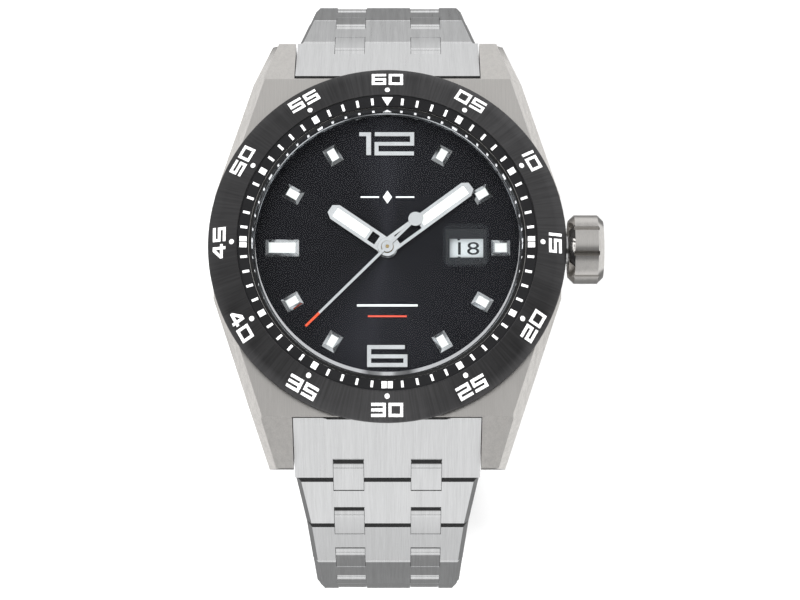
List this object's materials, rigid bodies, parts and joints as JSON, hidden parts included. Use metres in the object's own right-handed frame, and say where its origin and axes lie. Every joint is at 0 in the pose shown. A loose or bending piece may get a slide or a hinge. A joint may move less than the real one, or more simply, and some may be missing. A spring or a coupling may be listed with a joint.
{
  "type": "wristwatch",
  "caption": "Diver's wristwatch with a turning bezel, a pull-out crown, applied markers and a jointed steel link bracelet closed by a folding clasp.",
  "frame": {"origin": "on the dial axis, at the flat outer face of the case back", "axes": "+Z out of the dial along the axis of the hands, +Y towards 12 o'clock, +X towards the crown at 3 o'clock"},
  "size_m": [0.0469, 0.0756, 0.0646],
  "materials": {
    "brushed_titanium": "brushed case metal with polished bevels",
    "brushed_steel": "steel brushed along the strap",
    "polished_steel": "polished",
    "bezel_grey": "gunmetal coating with circular brushing and white numbers",
    "ring_black": "satin black with white minute marks",
    "dial_black": "sunburst charcoal lacquer",
    "crystal": "clear sapphire",
    "luminous": "matt luminous paint",
    "movement_steel": "plated, grained",
    "movement_brass": "brushed brass",
    "blued_spring": "blued spring alloy",
    "seal_rubber": "matt rubber",
    "holder_plastic": "moulded plastic",
    "date_white": "white print ground with black numbers"
  },
  "bodies": {
    "case": {"mid_case": "brushed_titanium", "case_back": "brushed_titanium", "case_back_gasket": "seal_rubber", "crystal": "crystal", "date_magnifier": "crystal", "crystal_gasket": "seal_rubber", "rehaut_ring": "polished_steel", "dial": "dial_black", "hour_markers": "polished_steel", "dial_numerals": "polished_steel", "movement_holder": "holder_plastic", "main_plate": "movement_steel", "train_bridge": "movement_steel", "balance_cock": "movement_steel", "rotor_bearing": "movement_steel", "crown_tube": "brushed_steel", "spring_bars": "brushed_steel", "bezel_click_spring": "brushed_steel", "end_link_12": "brushed_steel", "end_link_6": "brushed_steel"},
    "bezel": {"bezel": "bezel_grey", "minute_ring": "ring_black"},
    "hour": {"hour_hand": "polished_steel", "hour_hand_lume": "luminous"},
    "minute": {"center_wheel": "movement_brass", "minute_hand": "polished_steel", "minute_hand_lume": "luminous"},
    "seconds": {"fourth_wheel": "movement_brass", "seconds_hand": "polished_steel"},
    "barrel": {"mainspring_barrel": "movement_brass"},
    "third": {"third_wheel": "movement_brass"},
    "escapement": {"escape_wheel": "movement_brass"},
    "pallets": {"pallet_fork": "movement_steel"},
    "balance": {"balance_wheel": "movement_brass", "hairspring": "blued_spring"},
    "rotor": {"rotor": "movement_steel"},
    "date": {"date_disc": "date_white"},
    "crown_slide": {"crown_gasket": "seal_rubber"},
    "crown": {"crown": "brushed_titanium", "winding_stem": "brushed_steel"},
    "link_12_1": {"link_12_1": "brushed_steel"},
    "link_12_2": {"link_12_2": "brushed_steel"},
    "link_12_3": {"link_12_3": "brushed_steel"},
    "link_12_4": {"link_12_4": "brushed_steel"},
    "link_12_5": {"link_12_5": "brushed_steel"},
    "link_12_6": {"link_12_6": "brushed_steel"},
    "link_12_7": {"link_12_7": "brushed_steel"},
    "link_6_1": {"link_6_1": "brushed_steel"},
    "link_6_2": {"link_6_2": "brushed_steel"},
    "link_6_3": {"link_6_3": "brushed_steel"},
    "link_6_4": {"link_6_4": "brushed_steel"},
    "link_6_5": {"link_6_5": "brushed_steel"},
    "link_6_6": {"link_6_6": "brushed_steel"},
    "link_6_7": {"link_6_7": "brushed_steel"},
    "clasp_cover": {"clasp_cover": "brushed_steel"},
    "clasp_outer_blade": {"clasp_outer_blade": "polished_steel"},
    "clasp_inner_blade": {"clasp_inner_blade": "polished_steel"},
    "clasp_button_3": {"clasp_button_3": "polished_steel"},
    "clasp_button_9": {"clasp_button_9": "polished_steel"}
  },
  "joints": [
    {"name": "bezel_turn", "type": "hinge", "parent": "case", "child": "bezel", "pos_m": [0, 0, 0.01], "axis": [0, 0, 1], "continuous": true},
    {"name": "minute_hand_turn", "type": "hinge", "parent": "case", "child": "minute", "pos_m": [0, 0, 0.008], "axis": [0, 0, -1], "continuous": true},
    {"name": "hour_hand_turn", "type": "hinge", "parent": "case", "child": "hour", "pos_m": [0, 0, 0.008], "axis": [0, 0, -1], "continuous": true},
    {"name": "seconds_hand_turn", "type": "hinge", "parent": "case", "child": "seconds", "pos_m": [0, 0, 0.008], "axis": [0, 0, -1], "continuous": true},
    {"name": "barrel_turn", "type": "hinge", "parent": "case", "child": "barrel", "pos_m": [-0.0071, 0.0041, 0.005], "axis": [0, 0, -1], "continuous": true},
    {"name": "third_wheel_turn", "type": "hinge", "parent": "case", "child": "third", "pos_m": [0.00641, 0.0037, 0.005], "axis": [0, 0, -1], "continuous": true},
    {"name": "escape_wheel_turn", "type": "hinge", "parent": "case", "child": "escapement", "pos_m": [0.00598, -0.00345, 0.005], "axis": [0, 0, -1], "continuous": true},
    {"name": "pallet_fork_rock", "type": "hinge", "parent": "case", "child": "pallets", "pos_m": [0.0038, -0.00658, 0.005], "axis": [0, 0, 1], "range_deg": [-5, 5]},
    {"name": "balance_swing", "type": "hinge", "parent": "case", "child": "balance", "pos_m": [0, -0.0082, 0.005], "axis": [0, 0, 1], "range_deg": [-270, 270]},
    {"name": "rotor_spin", "type": "hinge", "parent": "case", "child": "rotor", "pos_m": [0, 0, 0.003], "axis": [0, 0, 1], "continuous": true},
    {"name": "date_turn", "type": "hinge", "parent": "case", "child": "date", "pos_m": [0, 0, 0.0067], "axis": [0, 0, 1], "continuous": true},
    {"name": "crown_pull", "type": "slide", "parent": "case", "child": "crown_slide", "axis": [1, 0, 0], "range_m": [0, 0.002]},
    {"name": "crown_turn", "type": "hinge", "parent": "crown_slide", "child": "crown", "pos_m": [0.022, 0, 0.0066], "axis": [1, 0, 0], "continuous": true},
    {"name": "link_12_1_hinge", "type": "hinge", "parent": "case", "child": "link_12_1", "pos_m": [0, 0.02463, 0.00146], "axis": [1, 0, 0], "range_deg": [0, 5.9]},
    {"name": "link_12_2_hinge", "type": "hinge", "parent": "link_12_1", "child": "link_12_2", "pos_m": [0, 0.02957, -0.00583], "axis": [1, 0, 0], "range_deg": [0, 9.3]},
    {"name": "link_12_3_hinge", "type": "hinge", "parent": "link_12_2", "child": "link_12_3", "pos_m": [0, 0.03354, -0.01368], "axis": [1, 0, 0], "range_deg": [0, 12.8]},
    {"name": "link_12_4_hinge", "type": "hinge", "parent": "link_12_3", "child": "link_12_4", "pos_m": [0, 0.03597, -0.02214], "axis": [1, 0, 0], "range_deg": [0, 16.3]},
    {"name": "link_12_5_hinge", "type": "hinge", "parent": "link_12_4", "child": "link_12_5", "pos_m": [0, 0.03623, -0.03094], "axis": [1, 0, 0], "range_deg": [0, 19.7]},
    {"name": "link_12_6_hinge", "type": "hinge", "parent": "link_12_5", "child": "link_12_6", "pos_m": [0, 0.03381, -0.03939], "axis": [1, 0, 0], "range_deg": [0, 23.2]},
    {"name": "link_12_7_hinge", "type": "hinge", "parent": "link_12_6", "child": "link_12_7", "pos_m": [0, 0.02849, -0.0464], "axis": [1, 0, 0], "range_deg": [0, 26.7]},
    {"name": "link_6_1_hinge", "type": "hinge", "parent": "case", "child": "link_6_1", "pos_m": [0, -0.02463, 0.00146], "axis": [1, 0, 0], "range_deg": [-5.9, 0]},
    {"name": "link_6_2_hinge", "type": "hinge", "parent": "link_6_1", "child": "link_6_2", "pos_m": [0, -0.02957, -0.00583], "axis": [1, 0, 0], "range_deg": [-9.3, 0]},
    {"name": "link_6_3_hinge", "type": "hinge", "parent": "link_6_2", "child": "link_6_3", "pos_m": [0, -0.03354, -0.01368], "axis": [1, 0, 0], "range_deg": [-12.8, 0]},
    {"name": "link_6_4_hinge", "type": "hinge", "parent": "link_6_3", "child": "link_6_4", "pos_m": [0, -0.03597, -0.02214], "axis": [1, 0, 0], "range_deg": [-16.3, 0]},
    {"name": "link_6_5_hinge", "type": "hinge", "parent": "link_6_4", "child": "link_6_5", "pos_m": [0, -0.03623, -0.03094], "axis": [1, 0, 0], "range_deg": [-19.7, 0]},
    {"name": "link_6_6_hinge", "type": "hinge", "parent": "link_6_5", "child": "link_6_6", "pos_m": [0, -0.03381, -0.03939], "axis": [1, 0, 0], "range_deg": [-23.2, 0]},
    {"name": "link_6_7_hinge", "type": "hinge", "parent": "link_6_6", "child": "link_6_7", "pos_m": [0, -0.02849, -0.0464], "axis": [1, 0, 0], "range_deg": [-26.7, 0]},
    {"name": "clasp_hinge", "type": "hinge", "parent": "link_12_7", "child": "clasp_cover", "pos_m": [0, 0.02073, -0.05055], "axis": [1, 0, 0], "range_deg": [0, 30.1]},
    {"name": "clasp_unfold", "type": "hinge", "parent": "clasp_cover", "child": "clasp_outer_blade", "pos_m": [0, -0.01633, -0.0501], "axis": [1, 0, 0], "range_deg": [0, 45]},
    {"name": "clasp_blade_fold", "type": "hinge", "parent": "clasp_outer_blade", "child": "clasp_inner_blade", "pos_m": [0, 0.01433, -0.0497], "axis": [1, 0, 0], "range_deg": [-45, 0]},
    {"name": "clasp_button_3_press", "type": "slide", "parent": "clasp_cover", "child": "clasp_button_3", "axis": [-1, 0, 0], "range_m": [0, 0.0005]},
    {"name": "clasp_button_9_press", "type": "slide", "parent": "clasp_cover", "child": "clasp_button_9", "axis": [1, 0, 0], "range_m": [0, 0.0005]}
  ],
  "couplings": [
    {"joint": "hour_hand_turn", "follows": "minute_hand_turn", "ratio": 0.083333},
    {"joint": "seconds_hand_turn", "follows": "minute_hand_turn", "ratio": 60},
    {"joint": "third_wheel_turn", "follows": "minute_hand_turn", "ratio": -8},
    {"joint": "escape_wheel_turn", "follows": "minute_hand_turn", "ratio": -600},
    {"joint": "barrel_turn", "follows": "minute_hand_turn", "ratio": -0.125},
    {"joint": "clasp_blade_fold", "follows": "clasp_unfold", "ratio": -1}
  ]
}
